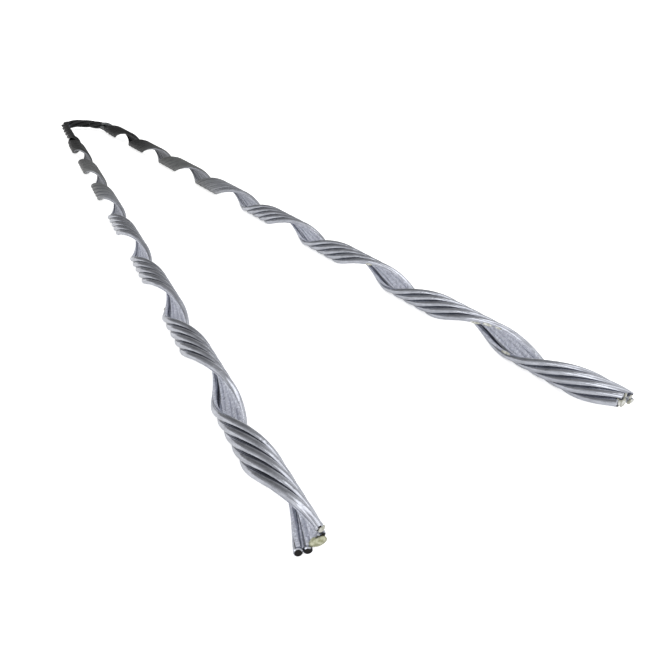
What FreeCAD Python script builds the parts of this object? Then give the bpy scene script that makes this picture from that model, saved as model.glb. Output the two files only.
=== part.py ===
import FreeCAD, Part
import math
import os

# Guy grip dead-end, in millimetres.
# Five steel wires lie side by side and form a long leg and a short leg, each an open left-hand
# helix, with a closed cabled loop between them. The centre lines lie in the plane z = 0, and the
# legs spread evenly to both sides of +X, the long leg towards +Y. The origin is where a thimble
# bears, on the inside of the loop at its apex.

Vector = FreeCAD.Vector

# Driving dimensions: name, value, meaning
SIZES = [
    ("wire_diameter", 2.8, "diameter of one wire"),
    ("wire_clearance", 0.08, "gap between neighbouring wires"),
    ("opening_clearance", 0.3, "extra gap between neighbours where the cable opens out"),
    ("leg_bore", 6.8, "inner diameter of a leg before it is wrapped on a 7.9 mm strand"),
    ("lay_length", 79.8, "length of one left-hand turn"),
    ("leg_spread", 8.4, "angle between the two legs, degrees"),
    ("apex_radius", 12.0, "centre line radius of the loop at its apex"),
    ("apex_turn", 49.0, "turn of the apex bend towards the long leg, degrees"),
    ("shoulder_radius", 77.0, "centre line radius from the apex bend to the long leg"),
    ("long_leg_length", 655.0, "centre line length from the apex to the end of the long leg"),
    ("short_leg_length", 649.5, "centre line length from the apex to the end of the short leg"),
    ("long_cable_length", 36.0, "cabled length between the apex and the long leg"),
    ("short_cable_length", 80.0, "cabled length between the apex and the short leg"),
    ("long_opening_length", 24.0, "length over which the cable opens out into the long leg"),
    ("short_opening_length", 28.0, "length over which the cable opens out into the short leg"),
    ("long_leg_turn", 146.0, "turn of the long leg about its axis, degrees"),
    ("short_leg_turn", 178.0, "turn of the short leg about its axis, degrees"),
    ("end_bevel", 0.3, "bevel around each cut end of a wire"),
    ("grit_thickness", 0.4, "thickness of the grit and its adhesive on the inner crest of a wire"),
    ("grit_clearance", 0.03, "gap between the grit and the wire that carries it"),
    ("grit_half_width", 46.0, "half width of the grit seen from the middle of its wire, degrees"),
    ("grit_crown", 0.25, "rise of the rounded top of the grit"),
    ("grit_gap", 0.3, "gap between the grit on neighbouring wires, across the leg"),
    ("grit_start", 20.0, "length of leg without grit, next to the opening"),
    ("grit_margin", 1.0, "length of bare wire at the cut ends"),
]

WIRE_COUNT = 5
POINTS_PER_TURN = 16
POINTS_PER_SPAN = 8


def make_sheet(doc):
    """Write the driving dimensions into a spreadsheet and return it."""
    sheet = doc.addObject("Spreadsheet::Sheet", "sizes")
    for row, (name, value, meaning) in enumerate(SIZES, start=1):
        sheet.set("A%d" % row, name)
        sheet.set("B%d" % row, str(value))
        sheet.set("C%d" % row, meaning)
        sheet.setAlias("B%d" % row, name)
    doc.recompute()
    return sheet


def smooth_step(value):
    """Ease from 0 to 1 with no slope at either end."""
    value = max(0.0, min(1.0, value))
    return value * value * (3.0 - 2.0 * value)


def smallest(test, low, high):
    """Smallest value between two limits that passes a test, found by halving."""
    for _ in range(40):
        middle = (low + high) / 2
        if test(middle):
            high = middle
        else:
            low = middle
    return high


class Leg:
    """One half of the grip, from the apex of the loop to the cut end of a leg."""

    def __init__(self, sheet, name, side, bends):
        self.name = name
        self.side = side
        self.bends = bends
        self.length = float(sheet.get(name + "_leg_length"))
        self.cable = float(sheet.get(name + "_cable_length"))
        self.opening = float(sheet.get(name + "_opening_length"))
        self.turn = math.radians(float(sheet.get(name + "_leg_turn")))

    def centre_line(self, reach):
        """Point and outward direction at a length along the centre line from the apex."""
        x = 0.0
        y = 0.0
        heading = 0.0
        for radius, turn in self.bends:
            used = min(reach, radius * turn)
            start = heading
            heading += used / radius
            x += radius * (math.cos(start) - math.cos(heading))
            y += radius * (math.sin(heading) - math.sin(start))
            reach -= used
        x += reach * math.sin(heading)
        y += reach * math.cos(heading)
        outward = Vector(math.sin(heading), self.side * math.cos(heading), 0)
        return Vector(x, self.side * y, 0), outward

    def openness(self, reach):
        """How far the cable has opened out into the leg, from 0 to 1."""
        return smooth_step((reach - self.cable) / self.opening)


class Grip:
    """Centre lines of the wires, worked out from the driving dimensions."""

    def __init__(self, sheet):
        self.wire_diameter = float(sheet.get("wire_diameter"))
        self.lay_length = float(sheet.get("lay_length"))
        self.clearance = float(sheet.get("wire_clearance"))
        self.opening_clearance = float(sheet.get("opening_clearance"))
        self.leg_radius = (float(sheet.get("leg_bore")) + self.wire_diameter) / 2
        apex_radius = float(sheet.get("apex_radius"))
        apex_turn = math.radians(float(sheet.get("apex_turn")))
        half_turn = math.pi / 2 - math.radians(float(sheet.get("leg_spread")) / 2)
        shoulder = (float(sheet.get("shoulder_radius")), half_turn - apex_turn)
        self.long_leg = Leg(sheet, "long", 1, [(apex_radius, apex_turn), shoulder])
        self.short_leg = Leg(sheet, "short", -1, [(apex_radius, half_turn)])
        share = 2 * math.pi / WIRE_COUNT
        spacing = self.wire_diameter + self.clearance
        self.cable_radius = smallest(
            lambda radius: self.helix_gap(radius, share) > spacing, spacing / 2, spacing * WIRE_COUNT)
        self.apex = Vector(-self.cable_radius - self.wire_diameter / 2, 0, 0)

    def helix_gap(self, radius, turn):
        """Shortest distance between two like helices, the second turned about their axis."""
        gaps = []
        for index in range(61):
            swing = turn * index / 60.0
            along = self.lay_length * swing / (2 * math.pi)
            gaps.append(math.hypot(along, 2 * radius * math.sin((turn - swing) / 2)))
        return min(gaps)

    def wire_turn(self, radius, openness):
        """Angle between neighbouring wires whose centres lie on a circle of this radius."""
        extra = self.opening_clearance * 4 * openness * (1 - openness)
        spacing = self.wire_diameter + self.clearance + extra
        return smallest(lambda turn: self.helix_gap(radius, turn) > spacing, 0.0, math.pi)

    def leg_at(self, distance):
        """The half of the grip that holds a distance from the apex, negative on the short leg."""
        return self.long_leg if distance >= 0 else self.short_leg

    def middle_turn(self, distance):
        """Turn of the middle wire about the centre line."""
        start = -self.short_leg.cable - self.short_leg.opening
        end = self.long_leg.cable + self.long_leg.opening
        share = max(0.0, min(1.0, (distance - start) / (end - start)))
        extra = self.short_leg.turn + (self.long_leg.turn - self.short_leg.turn) * share
        return extra - 2 * math.pi * distance / self.lay_length

    def wire_point(self, index, distance):
        """Point on the centre line of one wire."""
        leg = self.leg_at(distance)
        openness = leg.openness(abs(distance))
        radius = self.cable_radius + (self.leg_radius - self.cable_radius) * openness
        turn = self.middle_turn(distance)
        turn += (index - (WIRE_COUNT + 1) / 2) * self.wire_turn(radius, openness)
        point, outward = leg.centre_line(abs(distance))
        across = Vector(0, 0, leg.side).cross(outward)
        offset = across * (radius * math.cos(turn)) + Vector(0, 0, radius * math.sin(turn))
        return self.apex + point + offset

    def wire_curve(self, index):
        """Smooth curve along one wire, from the end of the short leg to the end of the long leg."""
        total = self.short_leg.length + self.long_leg.length
        spans = round(total * POINTS_PER_TURN / (self.lay_length * POINTS_PER_SPAN))
        count = spans * POINTS_PER_SPAN
        points = []
        for step in range(count + 1):
            points.append(self.wire_point(index, total * step / count - self.short_leg.length))
        curve = Part.BSplineCurve()
        curve.interpolate(points)
        return curve


def wire_path(curve):
    """Cut a wire's curve into half turns, joined into one path."""
    knots = curve.getKnots()
    cuts = [knots[index] for index in range(0, len(knots), POINTS_PER_SPAN)]
    edges = []
    for start, end in zip(cuts, cuts[1:]):
        piece = curve.copy()
        piece.segment(start, end)
        edges.append(piece.toShape())
    return Part.Wire(edges)


def make_sweep(doc, name, section, path):
    """Sweep one section along all the edges of a path, as a solid that follows its twist."""
    sweep = doc.addObject("Part::Sweep", name)
    sweep.Sections = [section]
    sweep.Spine = (path, ["Edge%d" % number for number in range(1, len(path.Shape.Edges) + 1)])
    sweep.Solid = True
    sweep.Frenet = True
    sweep.Transition = "Transformed"
    doc.recompute()
    return sweep


def end_edges(shape):
    """Numbers of the edges around the flat ends of a swept wire."""
    rims = [edge for face in shape.Faces if face.Surface.TypeId == "Part::GeomPlane" for edge in face.Edges]
    numbers = []
    for number, edge in enumerate(shape.Edges, start=1):
        if any(edge.isSame(rim) for rim in rims):
            numbers.append(number)
    return numbers


def make_wire(doc, sheet, grip, index):
    """One wire of the grip: a round section swept along its path, with bevelled ends."""
    name = "wire_%d" % index
    curve = grip.wire_curve(index)
    path = doc.addObject("Part::Feature", name + "_path")
    path.Shape = wire_path(curve)
    section = doc.addObject("Part::Circle", name + "_section")
    section.setExpression("Radius", "sizes.wire_diameter / 2")
    square = FreeCAD.Rotation(Vector(0, 0, 1), curve.tangent(curve.FirstParameter)[0])
    section.Placement = FreeCAD.Placement(curve.value(curve.FirstParameter), square)
    rod = make_sweep(doc, name + "_rod", section, path)
    bevel = float(sheet.get("end_bevel"))
    wire = doc.addObject("Part::Chamfer", name)
    wire.Base = rod
    wire.Edges = [(number, bevel, bevel) for number in end_edges(rod.Shape)]
    wire.Label = name
    return wire


def grit_section(sheet, grip):
    """Grit on the inner side of one wire, at the start of its helix: hollow below and rounded on top."""
    bed = grip.wire_diameter / 2 + float(sheet.get("grit_clearance"))
    crest = bed + float(sheet.get("grit_thickness"))
    corner = crest - float(sheet.get("grit_crown"))
    half_pitch = (grip.leg_radius - corner) * math.tan(grip.wire_turn(grip.leg_radius, 1.0) / 2)
    half_top = half_pitch - float(sheet.get("grit_gap")) / 2
    half_width = math.radians(float(sheet.get("grit_half_width")))
    low = bed * math.cos(half_width)
    half_bed = bed * math.sin(half_width)
    inward = Vector(-1, 0, 0)
    forward = Vector(0, -2 * math.pi * grip.leg_radius / grip.lay_length, 1).normalize()
    sideways = forward.cross(inward)

    def spot(depth, offset):
        return Vector(grip.leg_radius, 0, 0) + inward * depth + sideways * offset

    under = Part.Arc(spot(low, -half_bed), spot(bed, 0), spot(low, half_bed)).toShape()
    flank = Part.makeLine(spot(low, half_bed), spot(corner, half_top))
    top = Part.Arc(spot(corner, half_top), spot(crest, 0), spot(corner, -half_top)).toShape()
    other_flank = Part.makeLine(spot(corner, -half_top), spot(low, -half_bed))
    return Part.Wire([under, flank, top, other_flank])


def make_grit(doc, sheet, grip, leg):
    """Grit lining of one leg: a strip on the inner side of each wire."""
    node = "grit_lining_%s_leg" % leg.name
    bare = leg.cable + leg.opening + float(sheet.get("grit_start"))
    point, outward = leg.centre_line(bare)
    across = Vector(0, 0, leg.side).cross(outward)
    strips = []
    for index in range(1, WIRE_COUNT + 1):
        turn = grip.middle_turn(leg.side * bare)
        turn += (index - (WIRE_COUNT + 1) / 2) * grip.wire_turn(grip.leg_radius, 1.0)
        radial = across * math.cos(turn) + Vector(0, 0, math.sin(turn))
        place = FreeCAD.Placement(grip.apex + point, FreeCAD.Rotation(radial, Vector(), outward, "ZXY"))
        helix = doc.addObject("Part::Helix", "%s_path_%d" % (node, index))
        helix.LocalCoord = "Left-handed"
        helix.Style = "New style"
        helix.SegmentLength = 1
        helix.Pitch = grip.lay_length
        helix.setExpression("Radius", "(sizes.leg_bore + sizes.wire_diameter) / 2")
        helix.setExpression("Pitch", "sizes.lay_length")
        beyond = "sizes.%s_leg_length - sizes.%s_cable_length - sizes.%s_opening_length"
        helix.setExpression("Height", beyond % ((leg.name,) * 3) + " - sizes.grit_start - sizes.grit_margin")
        helix.Placement = place
        section = doc.addObject("Part::Feature", "%s_section_%d" % (node, index))
        section.Shape = grit_section(sheet, grip)
        section.Placement = place
        doc.recompute()
        strips.append(make_sweep(doc, "%s_strip_%d" % (node, index), section, helix))
    lining = doc.addObject("Part::Compound", node)
    lining.Links = strips
    lining.Label = node
    return lining


def check(doc, pieces):
    """Stop if an object failed, or a piece is missing or not valid."""
    for item in doc.Objects:
        if "Invalid" in item.State or "Error" in item.State:
            raise RuntimeError("%s failed: %s" % (item.Name, item.State))
    for piece in pieces:
        if piece.Shape.isNull() or not piece.Shape.isValid():
            raise RuntimeError("%s has no valid shape" % piece.Label)


def main():
    """Build the grip and write each piece to its own file."""
    doc = FreeCAD.newDocument("guy_grip_dead_end")
    sheet = make_sheet(doc)
    grip = Grip(sheet)
    pieces = [make_wire(doc, sheet, grip, index) for index in range(1, WIRE_COUNT + 1)]
    pieces += [make_grit(doc, sheet, grip, leg) for leg in (grip.long_leg, grip.short_leg)]
    doc.recompute()
    check(doc, pieces)
    os.makedirs("parts", exist_ok=True)
    for piece in pieces:
        piece.Shape.exportStep("parts/%s.step" % piece.Label)
        print(piece.Label, round(piece.Shape.Volume, 1), len(piece.Shape.Solids), piece.Shape.BoundBox)


main()
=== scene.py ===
"""Guy grip dead-end: finishes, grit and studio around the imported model, in metres."""

import logging
import math
from dataclasses import dataclass, field
from enum import Enum
from typing import Any

import bpy
import numpy as np
from mathutils import Matrix, Vector

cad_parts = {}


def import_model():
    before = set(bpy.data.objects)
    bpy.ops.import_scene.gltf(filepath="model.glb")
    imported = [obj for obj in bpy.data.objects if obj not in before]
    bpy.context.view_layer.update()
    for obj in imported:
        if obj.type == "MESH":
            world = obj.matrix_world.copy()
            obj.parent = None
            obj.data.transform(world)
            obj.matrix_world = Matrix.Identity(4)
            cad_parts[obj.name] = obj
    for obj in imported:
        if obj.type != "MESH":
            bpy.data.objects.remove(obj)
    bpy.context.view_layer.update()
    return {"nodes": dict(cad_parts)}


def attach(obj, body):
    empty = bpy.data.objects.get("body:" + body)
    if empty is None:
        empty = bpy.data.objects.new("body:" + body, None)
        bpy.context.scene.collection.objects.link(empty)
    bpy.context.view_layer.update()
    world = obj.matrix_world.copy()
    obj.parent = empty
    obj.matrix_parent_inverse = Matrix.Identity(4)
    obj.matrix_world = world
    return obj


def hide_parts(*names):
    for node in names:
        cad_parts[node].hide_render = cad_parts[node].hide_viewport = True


Material = bpy.types.Material
NodeTree = bpy.types.NodeTree
Socket = bpy.types.NodeSocket
Skin = tuple[np.ndarray, list[list[int]]]
Span = tuple[float, float]
Triple = tuple[float, float, float]

LOG = logging.getLogger("guy_grip")
MM = 0.001


def linear(hex_colour: str) -> tuple[float, float, float, float]:
    """Turn an sRGB hex colour into linear values.

    Args:
        hex_colour: Six hex digits after a hash.

    Returns:
        Red, green, blue and an alpha of 1.
    """
    parts = [int(hex_colour[i:i + 2], 16) / 255 for i in (1, 3, 5)]
    red, green, blue = (c / 12.92 if c <= 0.04045 else ((c + 0.055) / 1.055) ** 2.4 for c in parts)
    return red, green, blue, 1.0


def add_node(tree: NodeTree, kind: str, inputs: dict[Any, Any] | None = None,
             **settings: Any) -> bpy.types.Node:
    """Add a node, set its properties, and fill or link its sockets.

    Args:
        tree: Node tree that gets the node.
        kind: Node type, such as ShaderNodeMath.
        inputs: Socket name or number to a value, or to the socket that feeds it.
        settings: Properties of the node.

    Returns:
        The new node.
    """
    node = tree.nodes.new(kind)
    for name, value in settings.items():
        setattr(node, name, value)
    for name, value in (inputs or {}).items():
        if isinstance(value, Socket):
            tree.links.new(value, node.inputs[name])
        else:
            node.inputs[name].default_value = value
    return node


def maths(tree: NodeTree, operation: str, *values: Socket | float) -> Socket:
    """Result of one operation on numbers or sockets."""
    return add_node(tree, "ShaderNodeMath", dict(enumerate(values)), operation=operation).outputs[0]


def ramp(tree: NodeTree, value: Socket, between: Span, to: Span = (0.0, 1.0),
         smooth: bool = False) -> Socket:
    """Run from one number to another while a value crosses a span, and hold still outside it.

    Args:
        tree: Node tree that gets the node.
        value: The value.
        between: Start and end of the span.
        to: Numbers at the start and at the end.
        smooth: Whether the ends of the run are eased.

    Returns:
        Socket with the number.
    """
    node = add_node(tree, "ShaderNodeMapRange", {
        "Value": value, "From Min": between[0], "From Max": between[1], "To Min": to[0], "To Max": to[1]},
        interpolation_type="SMOOTHSTEP" if smooth else "LINEAR")
    return node.outputs[0]


class Mix(Enum):
    """What a mix node mixes, with the numbers of its two inputs and of its output."""

    FLOAT = (2, 3, 0)
    VECTOR = (4, 5, 1)
    RGBA = (6, 7, 2)


def mix(tree: NodeTree, kind: Mix, share: Socket, first: Any, second: Any) -> Socket:
    """Mix two values, vectors or colours.

    Args:
        tree: Node tree that gets the node.
        kind: What is mixed.
        share: Socket with 0 for the first and 1 for the second.
        first: A value, or the socket that feeds it.
        second: Another one.

    Returns:
        Socket with the mix.
    """
    first_input, second_input, output = kind.value
    inputs = {0: share, first_input: first, second_input: second}
    return add_node(tree, "ShaderNodeMix", inputs, data_type=kind.name).outputs[output]


def noise(tree: NodeTree, point: Socket, scale: float, detail: float, roughness: float = 0.5) -> Socket:
    """Cloudy pattern from 0 to 1, with a scale in waves for each unit of the coordinates."""
    return add_node(tree, "ShaderNodeTexNoise", {
        "Vector": point, "Scale": scale, "Detail": detail, "Roughness": roughness}).outputs["Fac"]


def millimetres(tree: NodeTree) -> Socket:
    """Object coordinates in millimetres."""
    place = add_node(tree, "ShaderNodeTexCoord")
    return add_node(tree, "ShaderNodeVectorMath", {
        0: place.outputs["Object"], "Scale": 1 / MM}, operation="SCALE").outputs[0]


def new_material(name: str) -> tuple[Material, NodeTree]:
    """Make an empty node material.

    Args:
        name: Name of the finish.

    Returns:
        The material and its node tree, with no nodes in it.
    """
    material = bpy.data.materials.new(name)
    material.use_nodes = True
    material.node_tree.nodes.clear()
    return material, material.node_tree


def add_surface(tree: NodeTree, inputs: dict[str, Any]) -> None:
    """Close a material with a principled shader that has the given inputs."""
    shader = add_node(tree, "ShaderNodeBsdfPrincipled", inputs)
    add_node(tree, "ShaderNodeOutputMaterial", {"Surface": shader.outputs[0]})


class Side(Enum):
    """The two legs, with the sign of Y that each lies on."""

    LONG = 1
    SHORT = -1


@dataclass(frozen=True)
class Lay:
    """How the wires of the grip lie, as in the CAD model, in millimetres and degrees.

    The angle between neighbours is looked for from the first to the second of the turn_tries, in
    radians, in as many steps as the third says, with swing_tries swings for each.
    """

    wire_count: int = 5
    wire_diameter: float = 2.8
    wire_clearance: float = 0.08
    leg_bore: float = 6.8
    lay_length: float = 79.8
    leg_spread: float = 8.4
    turn_tries: tuple[float, float, int] = (0.3, 1.2, 1801)
    swing_tries: int = 61

    @property
    def leg_radius(self) -> float:
        """Radius of the circle that the wires' centres lie on."""
        return (self.leg_bore + self.wire_diameter) / 2

    def neighbour_turn(self) -> float:
        """Angle between neighbouring wires of a leg.

        Two like helices, one turned by t, are nearest over all swings s from 0 to t at the least of
        hypot(lay s / 2 pi, 2 r sin((t - s) / 2)). The angle is the first t with room for a wire.

        Returns:
            The angle in radians.
        """
        turns = np.linspace(*self.turn_tries)[:, None]
        swings = turns * np.linspace(0, 1, self.swing_tries)[None, :]
        along = self.lay_length * swings / (2 * np.pi)
        gaps = np.hypot(along, 2 * self.leg_radius * np.sin((turns - swings) / 2)).min(axis=1)
        return float(turns[np.argmax(gaps > self.wire_diameter + self.wire_clearance), 0])


@dataclass(frozen=True)
class LegLine:
    """Straight axis of one leg, with distances counted from the apex of the loop, in millimetres.

    The spray ends earlier on the leg with the larger spray_offset. The paint bridges the valleys between
    the wires up to bridged_until, where it thins out over the given stretch. The open valley is the one
    that the glue leaves free, between the edge wire and the wire next to it.
    """

    side: Side
    zero: Span
    middle_turn: float
    grit_from: float
    grit_to: float
    length: float
    spray_offset: float
    bridged_until: Span
    open_valley: int

    def heading(self, lay: Lay) -> float:
        """Angle from +X to the leg, in radians."""
        return self.side.value * math.radians(lay.leg_spread / 2)

    def axes(self, lay: Lay) -> tuple[np.ndarray, np.ndarray]:
        """Outward and across directions of the leg.

        Args:
            lay: Lay of the wires.

        Returns:
            The unit vector along the leg and the one across it that turns are counted from.
        """
        angle = self.heading(lay)
        outward = np.array([math.cos(angle), math.sin(angle), 0.0])
        across = np.cross([0.0, 0.0, self.side.value], outward)
        return outward, across

    def wire_run(self, lay: Lay, index: int, along: np.ndarray) -> "WireRun":
        """Where one wire runs.

        The wire's centre is at zero + u a + r (across cos t + z sin t). The angle t falls by 2 pi a / lay
        on the long leg and rises by as much on the short one, which is a left-hand lay on both.

        Args:
            lay: Lay of the wires.
            index: Number of the wire, from 0.
            along: Distances from the apex.

        Returns:
            The wire's centre line and directions, with one row for each distance.
        """
        outward, across = self.axes(lay)
        up = np.array([0.0, 0.0, 1.0])
        rate = -self.side.value * 2 * math.pi / lay.lay_length
        turn = math.radians(self.middle_turn) + (index - (lay.wire_count - 1) / 2) * lay.neighbour_turn()
        angle = (turn + rate * along)[:, None]
        spoke = across * np.cos(angle) + up * np.sin(angle)
        rim = up * np.cos(angle) - across * np.sin(angle)
        centre = np.array([*self.zero, 0.0]) + outward * along[:, None] + spoke * lay.leg_radius
        forward = outward + rim * lay.leg_radius * rate
        forward /= np.linalg.norm(forward, axis=1, keepdims=True)
        sideways = np.cross(forward, spoke)
        sideways *= np.sign(np.sum(sideways * rim, axis=1, keepdims=True))
        return WireRun(centre, spoke, sideways, forward)


@dataclass(frozen=True)
class WireRun:
    """A stretch of one wire, with rows along it.

    The spoke points away from the leg's axis, sideways points to the next wire, and forward runs along
    the wire to the cut end.
    """

    centre: np.ndarray
    spoke: np.ndarray
    sideways: np.ndarray
    forward: np.ndarray

    def around(self, radius: np.ndarray | float, degrees: np.ndarray | float) -> np.ndarray:
        """Points around the wire.

        Args:
            radius: Distance from the wire's centre, one value or rows by columns.
            degrees: Angle from the spoke towards the next wire, one value or rows by columns.

        Returns:
            Rows by columns of points.
        """
        rows = len(self.centre)
        angle = np.radians(np.broadcast_to(np.atleast_2d(degrees), (rows, np.atleast_2d(degrees).shape[1])))
        reach = np.broadcast_to(np.atleast_2d(radius), angle.shape)[:, :, None]
        angle = angle[:, :, None]
        arm = self.spoke[:, None] * np.cos(angle) + self.sideways[:, None] * np.sin(angle)
        return self.centre[:, None] + reach * arm


LAY = Lay()
LEGS = {
    Side.LONG: LegLine(
        Side.LONG, zero=(-14.433, 23.363), middle_turn=146.0, grit_from=80.0, grit_to=654.0,
        length=655.0, spray_offset=0.0, bridged_until=(295.0, 350.0), open_valley=0),
    Side.SHORT: LegLine(
        Side.SHORT, zero=(-10.680, -10.652), middle_turn=178.0, grit_from=128.0, grit_to=648.5,
        length=649.5, spray_offset=5.0, bridged_until=(225.0, 285.0), open_valley=3),
}


@dataclass(frozen=True)
class GalvanizedWire:
    """Hot-dip galvanized hard-drawn steel wire, with black lacquer sprayed on as a colour code.

    Bare zinc on drawn wire is bright and a little blue, with long highlights that break up along faint
    drawing lines. The lacquer is satin black on the loop and thins out to a flat grey mist along the
    first turns of each leg, where it hides the lines. Lengths are in millimetres.

    A coat of spray is whole up to the first of its limits and gone at the second, and noise makes its edge
    ragged. The spray gets all around the wires up to all_round_until. Further out it thins between the
    two lee distances from the leg's axis, down to lee_share on the inner side.
    """

    zinc: str = "#C8CBD4"
    zinc_dull: str = "#9D9FA7"
    lacquer: str = "#0E0F10"
    mist: str = "#474843"
    # Painted shade for the flat cut faces at the wire ends.
    cross_mark: str = "#5E6162"
    cut_face_shade: str = "#2B2A2A"
    # Painted shade for the valleys between touching wires.
    valley_shade: str = "#4A4E5C"
    black_until: Span = (140.0, 240.0)
    black_ragged: float = 40.0
    mist_until: Span = (280.0, 370.0)
    mist_ragged: float = 50.0
    mist_cover: float = 0.85
    all_round_until: Span = (120.0, 165.0)
    lee: Span = (4.5, 5.05)
    lee_share: float = 0.15
    mark_at: Span = (41.0, 52.0)
    # Parts of their patterns over which the zinc turns dull, the mark wears off and the drawing lines show.
    dull_patches: Span = (0.35, 0.72)
    mark_wear: Span = (0.2, 0.45)
    line_contrast: Span = (0.3, 0.7)
    # The painted valley shade is darkest up to the first distance from the valley's bottom, and ends at the
    # second.
    painted_valley_shade_width: Span = (0.65, 1.1)
    painted_valley_shade_cover: float = 0.95
    # Distances on the inner side of the bottom count as so many times their length.
    inner_weight: float = 1.6
    # A face counts as cut where its normal has this cosine to X, so near to the end of the leg.
    cut_cosine: float = 0.88
    cut_reach: float = 2.0
    bare_roughness: Span = (0.12, 0.27)
    paint_roughness: float = 0.5
    paint_gloss: float = 0.35
    line_strength: float = 0.25
    line_depth: float = 0.05

    def leg_coordinates(self, tree: NodeTree, point: Socket, leg: LegLine) -> Socket:
        """Untwist one leg, so that its wires run straight along X.

        The point goes into the leg's own axes, with X as the distance from the apex, and is then turned
        back about X by 2 pi X / lay, which undoes the helix, and so far that the middle wire is on +Y.

        Args:
            tree: Node tree of the material.
            point: Object coordinates in millimetres.
            leg: The leg.

        Returns:
            Socket with the untwisted coordinates.
        """
        place = add_node(tree, "ShaderNodeMapping", {
            "Vector": point, "Location": (*leg.zero, 0.0), "Rotation": (0.0, 0.0, leg.heading(LAY)),
            "Scale": (1.0, leg.side.value, 1.0)}, vector_type="TEXTURE").outputs[0]
        distance = add_node(tree, "ShaderNodeSeparateXYZ", {0: place}).outputs["X"]
        rate = leg.side.value * 2 * math.pi / LAY.lay_length
        turn = maths(tree, "MULTIPLY_ADD", distance, rate, -math.radians(leg.middle_turn))
        return add_node(tree, "ShaderNodeVectorRotate", {"Vector": place, "Angle": turn},
                        rotation_type="X_AXIS").outputs[0]

    def untwisted(self, tree: NodeTree) -> tuple[Socket, Socket]:
        """Coordinates in which every wire runs straight along X.

        Args:
            tree: Node tree of the material.

        Returns:
            Socket with the coordinates, and socket with 1 on the long leg's side and 0 on the other.
        """
        point = millimetres(tree)
        parts = add_node(tree, "ShaderNodeSeparateXYZ", {0: point})
        on_long = maths(tree, "GREATER_THAN", parts.outputs["Y"], 0.0)
        short, long = (self.leg_coordinates(tree, point, LEGS[side]) for side in (Side.SHORT, Side.LONG))
        return mix(tree, Mix.VECTOR, on_long, short, long), on_long

    def spray_distance(self, tree: NodeTree, distance: Socket, on_long: Socket) -> Socket:
        """Distance along the leg, moved on where the spray ends earlier.

        Args:
            tree: Node tree of the material.
            distance: Distance along the leg, in millimetres.
            on_long: 1 on the long leg's side.

        Returns:
            Socket with the distance that the spray's limits are given for.
        """
        short, long = LEGS[Side.SHORT].spray_offset, LEGS[Side.LONG].spray_offset
        return maths(tree, "ADD", distance, mix(tree, Mix.FLOAT, on_long, short, long))

    def fade(self, tree: NodeTree, distance: Socket, speck: Socket, limits: Span, ragged: float) -> Socket:
        """Share of a sprayed coat that is left at a distance from the apex.

        Args:
            tree: Node tree of the material.
            distance: Distance along the leg, in millimetres.
            speck: Noise that makes the edge of the spray ragged.
            limits: Distances where the coat starts to thin and where it ends.
            ragged: How far the noise moves the edge, in millimetres.

        Returns:
            Socket with 1 where the coat is whole and 0 where there is none.
        """
        moved = maths(tree, "MULTIPLY_ADD", speck, ragged, distance)
        between = (limits[0] + ragged / 2, limits[1] + ragged / 2)
        return ramp(tree, moved, between, (1.0, 0.0), smooth=True)

    def valley(self, tree: NodeTree, point: Socket, reach: Socket) -> Socket:
        """Share of painted shade in the valley where neighbouring wires touch.

        The distance from the leg's axis is largest on the outer crest of a wire and smallest on its
        inner crest, and the bottom of the valley is in between. The free sides of the edge wires have no
        valley. They lie past the turn of those wires' centres.

        Args:
            tree: Node tree of the material.
            point: Untwisted coordinates.
            reach: Distance from the leg's axis, in millimetres.

        Returns:
            Socket with the shade's cover in the valley and 0 on the crests.
        """
        bottom = LAY.leg_radius * math.cos(LAY.neighbour_turn() / 2)
        outward = maths(tree, "SUBTRACT", reach, bottom)
        inward = maths(tree, "MULTIPLY", outward, -self.inner_weight)
        off = maths(tree, "MAXIMUM", outward, inward)
        shade = ramp(tree, off, self.painted_valley_shade_width, (self.painted_valley_shade_cover, 0.0), smooth=True)
        edge_turn = LAY.neighbour_turn() * (LAY.wire_count - 1) / 2
        parts = add_node(tree, "ShaderNodeSeparateXYZ", {0: point})
        height = maths(tree, "ABSOLUTE", parts.outputs["Z"])
        limit = maths(tree, "MULTIPLY", parts.outputs["Y"], math.tan(edge_turn))
        return maths(tree, "MULTIPLY", shade, maths(tree, "LESS_THAN", height, limit))

    def axis_distance(self, tree: NodeTree, point: Socket) -> Socket:
        """Distance from the leg's axis, hypot(Y, Z).

        Args:
            tree: Node tree of the material.
            point: Untwisted coordinates.

        Returns:
            Socket with the distance in millimetres.
        """
        flat = add_node(tree, "ShaderNodeVectorMath", {0: point, 1: (0.0, 1.0, 1.0)}, operation="MULTIPLY")
        length = add_node(tree, "ShaderNodeVectorMath", {0: flat.outputs[0]}, operation="LENGTH")
        return length.outputs["Value"]

    def spray_reach(self, tree: NodeTree, distance: Socket, reach: Socket) -> Socket:
        """Share of the surface that the spray gets to: all of the loop, and the outside of the legs.

        Args:
            tree: Node tree of the material.
            distance: Distance along the leg, in millimetres.
            reach: Distance from the leg's axis, in millimetres.

        Returns:
            Socket with 1 where the spray lands and lee_share in its lee.
        """
        outside = ramp(tree, reach, self.lee, (self.lee_share, 1.0), smooth=True)
        return maths(tree, "MAXIMUM", outside, ramp(tree, distance, self.all_round_until, (1.0, 0.0)))

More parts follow.
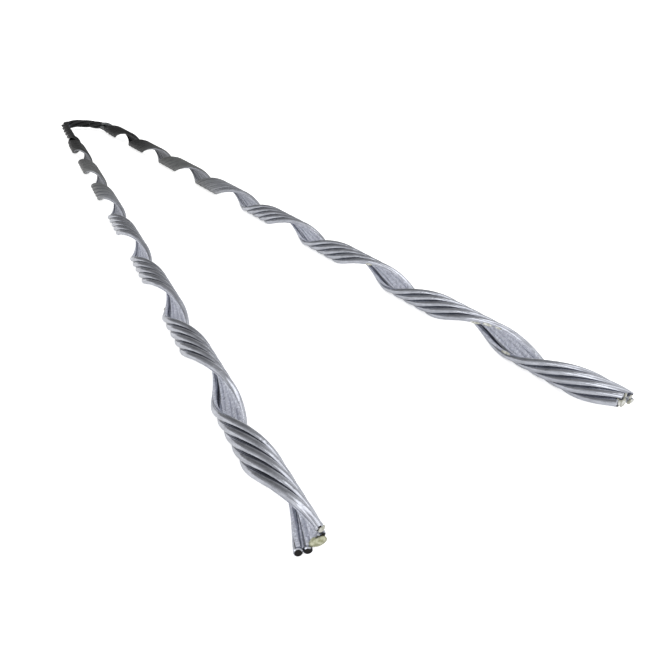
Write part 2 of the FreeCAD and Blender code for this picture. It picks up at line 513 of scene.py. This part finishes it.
    def cut_ends(self, tree: NodeTree, colour: Socket, distance: Socket, on_long: Socket) -> Socket:
        """Paint shade on the sheared faces at the ends of the wires, inside their bright bevels.

        Args:
            tree: Node tree of the material.
            colour: Colour of the rest of the wire.
            distance: Distance along the leg, in millimetres.
            on_long: 1 on the long leg's side.

        Returns:
            Socket with the colour.
        """
        shape = add_node(tree, "ShaderNodeNewGeometry")
        facing = add_node(tree, "ShaderNodeVectorMath", {
            0: shape.outputs["Normal"], 1: (1.0, 0.0, 0.0)}, operation="DOT_PRODUCT")
        flat = maths(tree, "GREATER_THAN", facing.outputs["Value"], self.cut_cosine)
        short, long = (LEGS[side].length - self.cut_reach for side in (Side.SHORT, Side.LONG))
        near = maths(tree, "GREATER_THAN", distance, mix(tree, Mix.FLOAT, on_long, short, long))
        cut = maths(tree, "MULTIPLY", flat, near)
        return mix(tree, Mix.RGBA, cut, colour, linear(self.cut_face_shade))

    def crossover_mark(self, tree: NodeTree, colour: Socket, distance: Socket, on_long: Socket,
                       speck: Socket) -> Socket:
        """Paint the worn mark on the long leg's side of the loop.

        Args:
            tree: Node tree of the material.
            colour: Colour of the wire without the mark.
            distance: Distance along the leg, in millimetres.
            on_long: 1 on the long leg's side.
            speck: Noise that wears the mark.

        Returns:
            Socket with the colour.
        """
        start, end = self.mark_at
        band = maths(tree, "MULTIPLY", maths(tree, "GREATER_THAN", distance, start),
                     maths(tree, "LESS_THAN", distance, end))
        band = maths(tree, "MULTIPLY", band, on_long)
        band = maths(tree, "MULTIPLY", band, ramp(tree, speck, self.mark_wear))
        return mix(tree, Mix.RGBA, band, colour, linear(self.cross_mark))

    def build(self) -> Material:
        """Make the material.

        Returns:
            The wire's material.
        """
        material, tree = new_material("galvanized_wire_with_black_lacquer")
        point, on_long = self.untwisted(tree)
        distance = add_node(tree, "ShaderNodeSeparateXYZ", {0: point}).outputs["X"]
        sprayed = self.spray_distance(tree, distance, on_long)
        reach = self.axis_distance(tree, point)
        # Drawing lines are about 0.05 mm apart on the real wire, and drawn here 0.4 mm apart to show.
        stretched = add_node(tree, "ShaderNodeMapping", {"Vector": point, "Scale": (0.03, 2.5, 2.5)})
        lines = noise(tree, stretched.outputs[0], scale=1.0, detail=4.0, roughness=0.6)
        # Zinc runs and dull patches are 3 to 6 mm long.
        patched = add_node(tree, "ShaderNodeMapping", {"Vector": point, "Scale": (0.18, 0.5, 0.5)})
        patches = noise(tree, patched.outputs[0], scale=1.0, detail=5.0, roughness=0.65)
        # Droplets of lacquer at the edge of the spray are 0.3 to 0.5 mm across.
        droplets = noise(tree, point, scale=2.4, detail=3.0, roughness=0.7)

        lands = self.spray_reach(tree, sprayed, reach)
        black = self.fade(tree, sprayed, droplets, self.black_until, self.black_ragged)
        black = maths(tree, "MULTIPLY", black, lands)
        mist = self.fade(tree, sprayed, patches, self.mist_until, self.mist_ragged)
        mist = maths(tree, "MULTIPLY", maths(tree, "MULTIPLY", mist, lands), self.mist_cover)
        dull = ramp(tree, patches, self.dull_patches)
        colour = mix(tree, Mix.RGBA, dull, linear(self.zinc), linear(self.zinc_dull))
        colour = mix(tree, Mix.RGBA, mist, colour, linear(self.mist))
        colour = mix(tree, Mix.RGBA, black, colour, linear(self.lacquer))
        colour = self.crossover_mark(tree, colour, distance, on_long, droplets)
        # Painted shade in the valleys between touching wires.
        colour = mix(tree, Mix.RGBA, self.valley(tree, point, reach), colour, linear(self.valley_shade))
        # Painted shade on the flat cut faces at the ends of the wires.
        colour = self.cut_ends(tree, colour, distance, on_long)

        unmisted, unpainted = (maths(tree, "SUBTRACT", 1.0, coat) for coat in (mist, black))
        metal = maths(tree, "MULTIPLY", unmisted, unpainted)
        shine = ramp(tree, lines, self.line_contrast, self.bare_roughness)
        rough = mix(tree, Mix.FLOAT, metal, self.paint_roughness, shine)
        bump = add_node(tree, "ShaderNodeBump", {
            "Height": lines, "Strength": self.line_strength, "Distance": self.line_depth * MM})
        add_surface(tree, {
            "Base Color": colour, "Metallic": metal, "Roughness": rough,
            "Specular IOR Level": self.paint_gloss, "Normal": bump.outputs[0]})
        return material


@dataclass(frozen=True)
class GritAndGlue:
    """Silicon carbide grit bedded in a thin coat of glue.

    The grains are angular and a little glassy, so the lining sparkles in light and dark specks over a
    flat pale grey, and it takes the same black and grey spray as the wires near the loop. Painted shade
    darkens the grooves between the wires between two distances from the leg's axis. Lengths are in
    millimetres.
    """

    glue: str = "#B9BCC8"
    grain_light: str = "#DCDFE9"
    grain_dark: str = "#7D808B"
    # Painted shade for the grooves between the wires.
    groove_shade: str = "#474A57"
    # Shares of the grains, by their random tone, that turn light and dark.
    light_tones: Span = (0.55, 0.9)
    dark_tones: Span = (0.8, 1.0)
    dark_cover: float = 0.7
    groove_at: Span = (3.9, 4.15)
    groove_cover: float = 0.9
    black_until: Span = (125.0, 175.0)
    black_ragged: float = 40.0
    mist_until: Span = (210.0, 430.0)
    mist_ragged: float = 60.0
    mist_cover: float = 0.7
    roughness: float = 0.5
    grain_strength: float = 0.35
    grain_height: float = 0.12

    def build(self, wire: GalvanizedWire) -> Material:
        """Make the material.

        Args:
            wire: Finish of the wires, which gives the colours of the spray.

        Returns:
            The lining's material.
        """
        material, tree = new_material("grit_in_glue")
        point, on_long = wire.untwisted(tree)
        distance = add_node(tree, "ShaderNodeSeparateXYZ", {0: point}).outputs["X"]
        sprayed = wire.spray_distance(tree, distance, on_long)
        # Grains are 0.2 to 0.3 mm across, drawn here at 0.5 mm.
        grains = add_node(tree, "ShaderNodeTexVoronoi", {"Vector": point, "Scale": 2.0, "Randomness": 1.0})
        tone = add_node(tree, "ShaderNodeSeparateColor", {0: grains.outputs["Color"]})
        first, second, third = (tone.outputs[channel] for channel in range(3))
        # The edge of the mist drifts over about 4 mm.
        drift = noise(tree, point, scale=0.25, detail=4.0)

        light = ramp(tree, first, self.light_tones)
        dark = ramp(tree, second, self.dark_tones, (0.0, self.dark_cover))
        # Painted shade in the grooves, darker deeper between the wires.
        deep = ramp(tree, wire.axis_distance(tree, point), self.groove_at, (0.0, self.groove_cover))
        black = wire.fade(tree, sprayed, third, self.black_until, self.black_ragged)
        mist = wire.fade(tree, sprayed, drift, self.mist_until, self.mist_ragged)
        mist = maths(tree, "MULTIPLY", mist, self.mist_cover)
        colour = mix(tree, Mix.RGBA, light, linear(self.glue), linear(self.grain_light))
        colour = mix(tree, Mix.RGBA, dark, colour, linear(self.grain_dark))
        colour = mix(tree, Mix.RGBA, deep, colour, linear(self.groove_shade))
        colour = mix(tree, Mix.RGBA, mist, colour, linear(wire.mist))
        colour = mix(tree, Mix.RGBA, black, colour, linear(wire.lacquer))
        bump = add_node(tree, "ShaderNodeBump", {
            "Height": grains.outputs["Distance"], "Strength": self.grain_strength,
            "Distance": self.grain_height * MM})
        add_surface(tree, {"Base Color": colour, "Roughness": self.roughness, "Normal": bump.outputs[0]})
        return material


@dataclass(frozen=True)
class CuredGlue:
    """Glue that ran out and set, amber-green where it is clear and pale where it is cloudy."""

    name: str
    clear: str
    cloudy: str
    cloud_edge: Span = (0.4, 0.65)
    roughness: float = 0.32

    def build(self) -> Material:
        """Make the material.

        Returns:
            The glue's material.
        """
        material, tree = new_material(self.name)
        # Clouds in the glue are 1 to 2 mm across.
        clouds = noise(tree, millimetres(tree), scale=0.8, detail=3.0)
        share = ramp(tree, clouds, self.cloud_edge)
        colour = mix(tree, Mix.RGBA, share, linear(self.clear), linear(self.cloudy))
        add_surface(tree, {"Base Color": colour, "Roughness": self.roughness})
        return material


def mesh_object(name: str, points: np.ndarray, faces: list[list[int]]) -> bpy.types.Object:
    """Make an object at the origin from points and faces.

    Args:
        name: Name of the piece.
        points: One row of x, y, z for each vertex, in metres.
        faces: Vertex numbers of each face.

    Returns:
        The new object, smooth shaded.
    """
    mesh = bpy.data.meshes.new(name)
    mesh.from_pydata(points.tolist(), [], faces)
    mesh.polygons.foreach_set("use_smooth", np.ones(len(mesh.polygons), bool))
    mesh.update()
    piece = bpy.data.objects.new(name, mesh)
    bpy.context.scene.collection.objects.link(piece)
    return piece


def closed_strip(ring: np.ndarray) -> Skin:
    """Join rows of ring points into a closed skin with faces that look outward.

    Args:
        ring: Rows by ring points by 3, where each row goes once around the strip.

    Returns:
        The points and the faces, quads and the two end caps.
    """
    rows, count = ring.shape[:2]
    row, column = np.meshgrid(np.arange(rows - 1), np.arange(count), indexing="ij")
    start = row * count + column
    after = row * count + (column + 1) % count
    quads = np.stack([start, after, after + count, start + count], axis=-1).reshape(-1, 4)
    points = ring.reshape(-1, 3)
    first, second, third = (points[quads[:, corner]] - points[0] for corner in (0, 1, 2))
    faces = quads.tolist() + [list(range(count))[::-1], list(range((rows - 1) * count, rows * count))]
    if np.sum(first * np.cross(second, third)) < 0:
        faces = [face[::-1] for face in faces]
    return points, faces


def joined(parts: list[Skin]) -> Skin:
    """Join several skins into one.

    Args:
        parts: Points and faces of each.

    Returns:
        All points and all faces.
    """
    faces: list[list[int]] = []
    count = 0
    for part_points, part_faces in parts:
        faces.extend([number + count for number in face] for face in part_faces)
        count += len(part_points)
    return np.vstack([points for points, _ in parts]), faces


def grit_piece(name: str, skins: list[Skin], material: Material) -> bpy.types.Object:
    """Make one piece of grit, glue or paint from skins in millimetres.

    Args:
        name: Name of the piece.
        skins: Points and faces of its parts.
        material: Its finish.

    Returns:
        The piece, which rides with the grip.
    """
    points, faces = joined(skins)
    piece = mesh_object(name, points * MM, faces)
    piece.data.materials.append(material)
    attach(piece, "root")
    LOG.info("%s: %d faces", piece.name, len(piece.data.polygons))
    return piece


def wander(rng: np.random.Generator, along: np.ndarray, step: float) -> np.ndarray:
    """Smooth random values along a leg.

    Args:
        rng: Source of the values.
        along: Distances where they are wanted.
        step: Distance over which they change.

    Returns:
        One value from 0 to 1 for each distance.
    """
    knots = np.arange(along[0] - step, along[-1] + 2 * step, step)
    return np.interp(along, knots, rng.random(len(knots)))


@dataclass
class GritLining:
    """Grit lining of one leg, in millimetres and degrees.

    The glue covers the inner side of the wires and fills the valleys between them to a depth that
    wanders along the leg. One valley is filled only deep down, and is open near the cut ends, so the
    edge wire has a thin strip of its own.

    A coat's thickness at its edge is the root of 1 - edge_fall times that of its crown, and its grains
    stand at grain_low to grain_low plus grain_spread of it. A valley is hollow where its wander, from
    0 to 1, stretched by hollow_contrast, is above hollow_onset. Elsewhere the glue lies level_rise above
    the line between the coats, and in a hollow up to hollow_depth lower, with a roughness of level_spread.
    The underside goes root_depth into each valley.
    """

    leg: LegLine
    lay: Lay = field(default_factory=Lay)
    bed: float = 0.02
    thickness: float = 0.36
    edge_thickness: float = 0.12
    half_width: float = 46.0
    open_width: float = 8.0
    grain: float = 0.7
    columns: int = 8
    edge_fall: float = 0.6
    grain_low: float = 0.75
    grain_spread: float = 0.35
    hollow_step: float = 12.0
    hollow_contrast: float = 2.5
    hollow_onset: float = 1.3
    hollow_depth: float = 0.85
    level_rise: float = 0.14
    level_spread: float = 0.08
    root_depth: float = 0.6
    fill_sinks: tuple[float, ...] = (340.0, 500.0, 600.0, 615.0, 645.0)
    fill_turns: tuple[float, ...] = (148.0, 126.0, 114.0, 114.0, 138.0)
    root_turn: float = 96.0
    seed: int = 11

    @property
    def node(self) -> str:
        """Name of the CAD node that the lining stands for."""
        return f"grit_lining_{self.leg.side.name.lower()}_leg"

    @property
    def bed_radius(self) -> float:
        """Distance from a wire's centre to the underside of its grit."""
        return self.lay.wire_diameter / 2 + self.bed / 2

    def stations(self, spacing: float) -> np.ndarray:
        """Distances from the apex of the rows of the lining."""
        rows = int(round((self.leg.grit_to - self.leg.grit_from) / spacing)) + 1
        return np.linspace(self.leg.grit_from, self.leg.grit_to, rows)

    def coat(self, run: WireRun, height: float, reach: Span, rng: np.random.Generator) -> np.ndarray:
        """Rough top of the grit on one wire.

        Args:
            run: The wire.
            height: Thickness of the grit on the wire's inner crest.
            reach: Degrees from the inner crest that it covers, to the wire before and to the next one.
            rng: Source of the grains' heights.

        Returns:
            Rows by columns of points, from the wire before to the next one.
        """
        turns = np.linspace(reach[0], -reach[1], self.columns)
        share = turns / np.where(turns > 0, reach[0], reach[1])
        crown = height * np.sqrt(1 - self.edge_fall * share ** 2)
        grains = rng.random((len(run.centre), self.columns))
        heights = crown * (self.grain_low + self.grain_spread * grains)
        return run.around(self.lay.wire_diameter / 2 + self.bed + heights, 180 + turns)

    def strip(self, wires: range, height: float, rng: np.random.Generator) -> Skin:
        """Closed skin of the grit on some neighbouring wires, with the valleys between them filled.

        Args:
            wires: Numbers of the wires.
            height: Thickness of the grit on the wires' inner crests.
            rng: Source of the grains' heights and the valleys' depths.

        Returns:
            Points and faces.
        """
        along = self.stations(self.grain)
        runs = [self.leg.wire_run(self.lay, index, along) for index in wires]
        valley = self.leg.open_valley
        reaches = [(self.open_width if index - 1 == valley else self.half_width,
                    self.open_width if index == valley else self.half_width) for index in wires]
        tops = [self.coat(run, height, reach, rng) for run, reach in zip(runs, reaches)]
        unders = [run.around(self.bed_radius, 180 + np.array([reach[0], 0.0, -reach[1]]))
                  for run, reach in zip(runs, reaches)]
        shares = np.array([1 / 3, 2 / 3])[None, :, None]
        front, back = [tops[0]], [unders[0]]
        for index in range(1, len(runs)):
            before, after = tops[index - 1][:, -1:], tops[index][:, :1]
            outward = (runs[index - 1].spoke + runs[index].spoke)[:, None] / 2
            wave = wander(rng, along, self.hollow_step)
            hollow = np.clip(wave * self.hollow_contrast - self.hollow_onset, 0, 1)[:, None, None]
            depth = self.hollow_depth * hollow - self.level_rise
            rough = self.level_spread * rng.random((len(along), 2, 1))
            front += [before + (after - before) * shares + outward * (depth + rough), tops[index]]
            middle = (unders[index - 1][:, -1:] + unders[index][:, :1]) / 2
            back += [middle + outward * self.root_depth, unders[index]]
        return closed_strip(np.hstack(front + [np.hstack(back)[:, ::-1]]))

    def valley_fill(self) -> Skin:
        """Closed skin of the glue in the open valley, which sinks further out and rises at the cut end.

        Returns:
            Points and faces.
        """
        along = self.stations(2 * self.grain)
        before, after = (self.leg.wire_run(self.lay, self.leg.open_valley + step, along) for step in (0, 1))
        top = np.interp(along, self.fill_sinks, self.fill_turns)[:, None]
        left, left_root = (before.around(self.bed_radius, turn) for turn in (top, self.root_turn))
        right, right_root = (after.around(self.bed_radius, -turn) for turn in (top, self.root_turn))
        return closed_strip(np.hstack([left, right, right_root, left_root]))

    def build(self, material: Material) -> bpy.types.Object:
        """Make the lining and dress it.

        Args:
            material: Finish of the grit.

        Returns:
            The lining.
        """
        rng = np.random.default_rng(self.seed)
        split = self.leg.open_valley + 1
        skins = [self.strip(wires, self.edge_thickness if len(wires) == 1 else self.thickness, rng)
                 for wires in (range(split), range(split, self.lay.wire_count))]
        skins.append(self.valley_fill())
        piece = grit_piece(f"grit_{self.leg.side.name.lower()}_leg", skins, material)
        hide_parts(self.node)
        return piece


@dataclass
class ValleySeals:
    """Paint bridges and dark beads in the valleys on the outer side of one leg, in millimetres and degrees.

    Under the spray the paint bridges the valleys nearly to the crests, so that the band looks flat.
    Further out a thin bead lies deep between the wires, closes the gap, and takes the wires' painted valley
    shade.
    """

    leg: LegLine
    lay: Lay = field(default_factory=Lay)
    lead: float = 14.0
    end_margin: float = 1.5
    step: float = 1.5
    crest_turn: float = 20.0
    deep_turn: float = 74.0
    root_turn: float = 88.0
    sag: float = 0.06
    proud: float = 0.012

    def strip(self, index: int) -> Skin:
        """Closed skin of one seal.

        The wires lie at an angle to the leg's axis, so the spot on the next wire that faces this one is
        a little further along.

        Args:
            index: Number of the wire before the valley.

        Returns:
            Points and faces.
        """
        leg, lay = self.leg, self.lay
        start, end = leg.grit_from - self.lead, leg.length - self.end_margin
        along = np.linspace(start, end, int(round((end - start) / self.step)) + 1)
        outward, _ = leg.axes(lay)
        run = leg.wire_run(lay, index, along)
        slant = float(run.sideways[0] @ outward) * lay.wire_diameter / 2
        before = leg.wire_run(lay, index, along - slant)
        after = leg.wire_run(lay, index + 1, along + slant)
        near, far = leg.bridged_until
        share = np.clip((along - near) / (far - near), 0, 1)
        share = (share * share * (3 - 2 * share))[:, None]
        top = self.crest_turn + (self.deep_turn - self.crest_turn) * share
        radius = lay.wire_diameter / 2 + self.proud
        left, left_root = (before.around(radius, turn) for turn in (top, self.root_turn))
        right, right_root = (after.around(radius, -turn) for turn in (top, self.root_turn))
        sunk = (before.spoke + after.spoke)[:, None] / 2 * (self.sag * (1 + share[:, :, None]))
        middle = (left + right) / 2 - sunk
        return closed_strip(np.hstack([left, middle, right, right_root, left_root]))

    def build(self, material: Material) -> bpy.types.Object:
        """Make the seals of the leg, with the finish of the wires, whose spray and painted valley shade
        cover them.
        """
        skins = [self.strip(index) for index in range(self.lay.wire_count - 1)]
        return grit_piece(f"valley_seals_{self.leg.side.name.lower()}_leg", skins, material)


@dataclass(frozen=True)
class Lump:
    """One lump of glue, or a pale lump that is a painted highlight.

    It lies at a distance along a leg, at a wire or between two, moved from there away from the leg's axis
    and towards the next wire. Its size is half its length along the wire, across it and away from the axis.
    """

    side: Side
    along: float
    wire: float
    shift: Span
    size: Triple


@dataclass
class GlueLumps:
    """Glue that ran out over the cut ends and along the free edge of one leg, and pale lumps that are
    painted highlights, in millimetres.

    Each lump is an ellipsoid of rings and columns, with its poles cut off at pole_cut radians. Waves of
    random length and phase dent it, each by dent of its size.
    """

    name: str
    lumps: list[Lump]
    lay: Lay = field(default_factory=Lay)
    rings: int = 13
    columns: int = 20
    pole_cut: float = 0.12
    waves: int = 4
    wave_spread: float = 1.6
    wave_phase: float = 6.0
    dent: float = 0.09
    seed: int = 5

    def skin(self, lump: Lump, rng: np.random.Generator) -> Skin:
        """Closed skin of one lump, a dented ellipsoid.

        Args:
            lump: The lump.
            rng: Source of the dents.

        Returns:
            Points and faces.
        """
        low = int(min(lump.wire, self.lay.wire_count - 2))
        share = lump.wire - low
        runs = [LEGS[lump.side].wire_run(self.lay, low + step, np.array([lump.along])) for step in (0, 1)]
        centre, spoke, sideways, forward = (
            getattr(runs[0], name)[0] * (1 - share) + getattr(runs[1], name)[0] * share
            for name in ("centre", "spoke", "sideways", "forward"))
        centre = centre + spoke * lump.shift[0] + sideways * lump.shift[1]
        axes = np.array([forward, sideways, spoke]) * np.array(lump.size)[:, None]
        theta = np.linspace(self.pole_cut, np.pi - self.pole_cut, self.rings)[:, None]
        phi = np.linspace(0, 2 * np.pi, self.columns, endpoint=False)[None, :]
        parts = (np.cos(theta) + 0 * phi, np.sin(theta) * np.cos(phi), np.sin(theta) * np.sin(phi))
        ball = np.stack(parts, axis=-1)
        waves = rng.normal(size=(self.waves, 3)) * self.wave_spread
        phases = rng.random(self.waves) * self.wave_phase
        dents = 1 + self.dent * np.sin(ball @ waves.T + phases).sum(axis=-1)
        return closed_strip(centre + (ball * dents[:, :, None]) @ axes)

    def build(self, material: Material) -> bpy.types.Object:
        """Make the lumps as one piece with the given finish."""
        rng = np.random.default_rng(self.seed)
        return grit_piece(self.name, [self.skin(lump, rng) for lump in self.lumps], material)


SHORT_BLOB = [
    Lump(Side.SHORT, 649.6, 1.5, (-0.1, 0.0), (1.0, 2.9, 2.4)),
    Lump(Side.SHORT, 649.2, 1.9, (-1.6, 0.4), (1.2, 1.6, 0.9)),
]
SHORT_LUMPS_AND_HIGHLIGHT = [
    # Pale lump on the end of wire 0: a painted highlight on the bright end.
    Lump(Side.SHORT, 649.5, 0.0, (0.3, 0.3), (0.7, 1.3, 1.2)),
    Lump(Side.SHORT, 484.0, 4.0, (-0.6, 1.3), (2.4, 0.6, 0.5)),
]
LONG_LUMPS = [
    Lump(Side.LONG, 654.0, 2.0, (-3.4, 0.0), (1.0, 2.4, 1.9)),
    Lump(Side.LONG, 654.0, 3.0, (-2.2, 0.0), (0.8, 1.9, 1.6)),
    Lump(Side.LONG, 654.2, 3.6, (-0.6, 0.4), (0.7, 1.9, 1.6)),
    Lump(Side.LONG, 654.6, 0.1, (-0.5, 0.0), (0.8, 1.2, 1.2)),
    Lump(Side.LONG, 654.7, 1.1, (-0.3, 0.0), (0.7, 1.4, 1.3)),
    Lump(Side.LONG, 654.4, 2.1, (-0.3, 0.0), (0.7, 1.5, 1.3)),
    Lump(Side.LONG, 583.0, 4.0, (-0.8, 1.1), (2.6, 0.7, 0.6)),
    Lump(Side.LONG, 588.0, 4.0, (-0.6, 1.3), (2.2, 0.7, 0.7)),
    Lump(Side.LONG, 593.0, 4.0, (-0.7, 1.2), (1.6, 0.6, 0.5)),
    Lump(Side.LONG, 505.0, 4.0, (-0.7, 1.2), (2.0, 0.6, 0.5)),
    Lump(Side.LONG, 603.0, 0.0, (-0.9, -1.1), (3.0, 0.6, 0.5)),
    Lump(Side.LONG, 297.0, 2.5, (0.6, 0.0), (1.4, 0.9, 0.9)),
]


@dataclass
class Wires:
    """The five CAD wires, which keep their shape and get their finish."""

    finish: GalvanizedWire = field(default_factory=GalvanizedWire)

    def dress(self, nodes: dict[str, bpy.types.Object]) -> Material:
        """Give every wire its material.

        Args:
            nodes: The CAD nodes by name.

        Returns:
            The material.
        """
        material = self.finish.build()
        for index in range(1, LAY.wire_count + 1):
            wire = nodes[f"wire_{index}"]
            wire.data.materials.clear()
            wire.data.materials.append(material)
            LOG.info("%s: %d faces", wire.name, len(wire.data.polygons))
        return material


@dataclass(frozen=True)
class Lamp:
    """Soft rectangular lamp: its place, its width and height in metres, and its radiance, 1 for white."""

    name: str
    place: Triple
    size: Span
    radiance: float


@dataclass
class Studio:
    """White table, soft lamps and camera, in metres.

    The table glows by table_glow for the camera and by table_sheen in reflections. The room is white
    except around its dim corner, where it falls to dimmest as the cosine to that corner grows.
    """

    floor_height: float = -0.0062
    floor_reach: float = 40.0
    table: str = "#F2F2F2"
    table_glow: float = 0.65
    table_sheen: float = 0.18
    white: str = "#FFFFFF"
    dim_corner: Triple = (-0.8743, -0.1229, 0.4695)
    dim_cosines: Span = (0.3, 1.0)
    dimmest: float = 0.21
    aim: Triple = (0.3, 0.0, 0.0)
    lamps: tuple[Lamp, ...] = (
        Lamp("key", (0.9, -1.1, 0.45), (1.4, 0.5), 1.2),
        Lamp("top", (0.3, 0.05, 1.3), (0.4, 1.6), 1.2))
    camera_at: Triple = (0.750569, -0.116243, 0.136266)
    camera_right: Triple = (0.494169, 0.869360, -0.003274)
    camera_up: Triple = (-0.411753, 0.237366, 0.879839)
    focal_pixels: float = 638.62
    frame_pixels: float = 650.0
    sensor: float = 36.0
    clip: Span = (0.01, 200.0)

    def floor_material(self) -> Material:
        """White board that shows as white to the camera and in reflections, and still takes shadows.

        Returns:
            The floor's material.
        """
        material, tree = new_material("white_table")
        rays = add_node(tree, "ShaderNodeLightPath").outputs
        seen = maths(tree, "MAXIMUM", rays["Is Camera Ray"], rays["Is Transmission Ray"])
        glow = maths(tree, "MULTIPLY", seen, self.table_glow)
        glow = maths(tree, "MULTIPLY_ADD", rays["Is Glossy Ray"], self.table_sheen, glow)
        board = add_node(tree, "ShaderNodeBsdfDiffuse", {"Color": linear(self.table)})
        light = add_node(tree, "ShaderNodeEmission", {"Color": linear(self.white), "Strength": glow})
        both = add_node(tree, "ShaderNodeAddShader", {0: board.outputs[0], 1: light.outputs[0]})
        add_node(tree, "ShaderNodeOutputMaterial", {"Surface": both.outputs[0]})
        return material

    def make_floor(self) -> None:
        """Lay the table under the legs."""
        signs = np.array([[-1.0, -1.0], [1.0, -1.0], [1.0, 1.0], [-1.0, 1.0]])
        corners = np.column_stack([signs * self.floor_reach, np.full(len(signs), self.floor_height)])
        floor = mesh_object("table", corners, [[0, 1, 2, 3]])
        floor.data.materials.append(self.floor_material())

    def make_world(self) -> None:
        """Light the room evenly, except for a dim corner opposite the camera, and show it as white."""
        world = bpy.data.worlds.new("room")
        world.use_nodes = True
        tree = world.node_tree
        tree.nodes.clear()
        place = add_node(tree, "ShaderNodeTexCoord")
        away = add_node(tree, "ShaderNodeVectorMath", {
            0: place.outputs["Generated"], 1: self.dim_corner}, operation="DOT_PRODUCT").outputs["Value"]
        light = ramp(tree, away, self.dim_cosines, (1.0, self.dimmest))
        path = add_node(tree, "ShaderNodeLightPath")
        shown = maths(tree, "MAXIMUM", light, path.outputs["Is Camera Ray"])
        sky = add_node(tree, "ShaderNodeBackground", {"Color": linear(self.white), "Strength": shown})
        add_node(tree, "ShaderNodeOutputWorld", {"Surface": sky.outputs[0]})
        bpy.context.scene.world = world

    def add_lamp(self, lamp: Lamp) -> None:
        """Add a lamp that points at the middle of the grip.

        Args:
            lamp: The lamp.
        """
        data = bpy.data.lights.new(lamp.name, "AREA")
        data.shape = "RECTANGLE"
        data.size, data.size_y = lamp.size
        data.energy = lamp.radiance * math.pi * lamp.size[0] * lamp.size[1]
        light = bpy.data.objects.new(lamp.name, data)
        light.location = lamp.place
        light.rotation_euler = (Vector(lamp.place) - Vector(self.aim)).to_track_quat("Z", "Y").to_euler()
        bpy.context.scene.collection.objects.link(light)

    def make_camera(self) -> None:
        """Stand the camera where the photograph was taken from."""
        right, up = Vector(self.camera_right), Vector(self.camera_up)
        turn = Matrix((right, up, right.cross(up))).transposed().to_4x4()
        data = bpy.data.cameras.new("photo_camera")
        data.sensor_width = self.sensor
        data.lens = self.focal_pixels / self.frame_pixels * self.sensor
        data.clip_start, data.clip_end = self.clip
        camera = bpy.data.objects.new("photo_camera", data)
        camera.matrix_world = Matrix.Translation(self.camera_at) @ turn
        bpy.context.scene.collection.objects.link(camera)
        bpy.context.scene.camera = camera

    def build(self) -> None:
        """Set up the table, the light and the camera."""
        self.make_floor()
        self.make_world()
        for lamp in self.lamps:
            self.add_lamp(lamp)
        self.make_camera()
        bpy.context.scene.view_settings.view_transform = "Standard"
        LOG.info("studio: table, %d lamps and camera", len(self.lamps))


def main() -> None:
    """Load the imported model, dress it, and set up the studio."""
    logging.basicConfig(level=logging.INFO, format="%(name)s: %(message)s")
    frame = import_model()
    wires = Wires()
    wire_material = wires.dress(frame["nodes"])
    grit = GritAndGlue().build(wires.finish)
    for leg in LEGS.values():
        GritLining(leg).build(grit)
        ValleySeals(leg).build(wire_material)
    amber = CuredGlue("glue_amber", "#8E8F6C", "#C9CAB0").build()
    pale = CuredGlue("glue_pale_and_painted_highlight", "#A5A594", "#E4E4E0").build()
    GlueLumps("glue_blob_short_leg", SHORT_BLOB).build(amber)
    # The short leg's pale lumps are glue and one painted highlight on the end of wire 0.
    GlueLumps("glue_and_painted_highlight_short_leg", SHORT_LUMPS_AND_HIGHLIGHT).build(pale)
    GlueLumps("glue_long_leg", LONG_LUMPS).build(pale)
    Studio().build()


if __name__ == "__main__":
    main()
